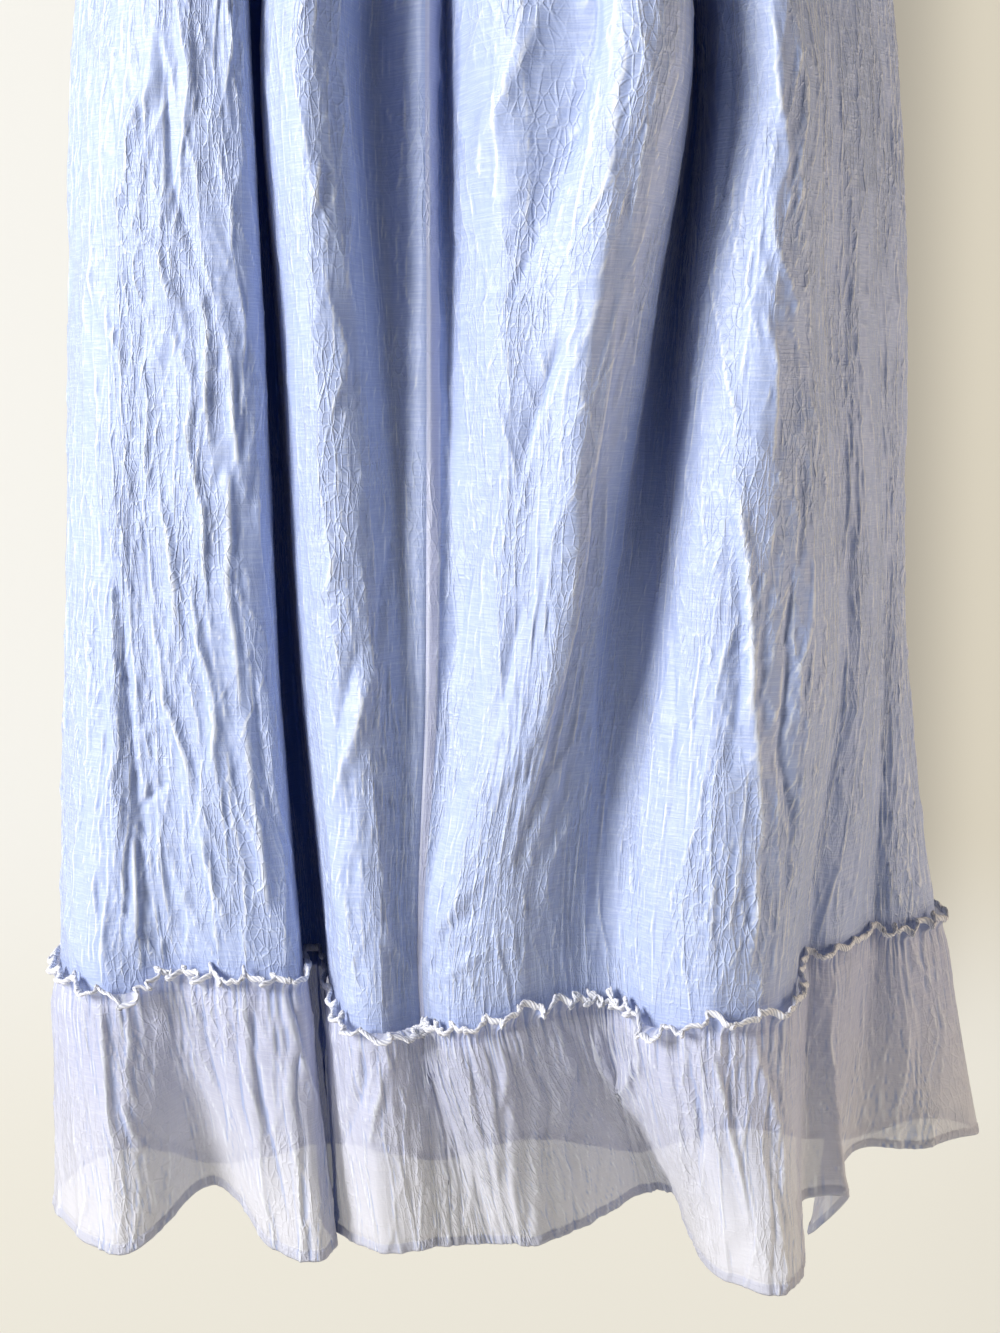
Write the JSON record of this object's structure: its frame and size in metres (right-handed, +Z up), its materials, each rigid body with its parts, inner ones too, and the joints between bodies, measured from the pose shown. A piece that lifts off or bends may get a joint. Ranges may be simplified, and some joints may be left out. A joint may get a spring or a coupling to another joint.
{
  "type": "maxi skirt",
  "caption": "Long gathered skirt of crinkled gauze with an elastic waistband, deep hanging folds and a gathered flounce with a frilled heading and a narrow hem.",
  "frame": {"origin": "centre of the waistband's top edge, where a wearer or a hanger holds the skirt", "axes": "+Z up along the hanging length, -Y to the front, +X to the right as seen from the front"},
  "size_m": [0.6203, 0.2762, 0.988],
  "materials": {
    "gauze": "light crinkled gauze with a soft sheen",
    "flounce_gauze": "the same gauze in a single sheer layer",
    "band_gauze": "the same gauze, doubled over elastic"
  },
  "bodies": {
    "root": {"waistband": "band_gauze", "front_left": "gauze", "front_right": "gauze", "back": "gauze", "flounce_front": "flounce_gauze", "flounce_back": "flounce_gauze"}
  },
  "joints": []
}
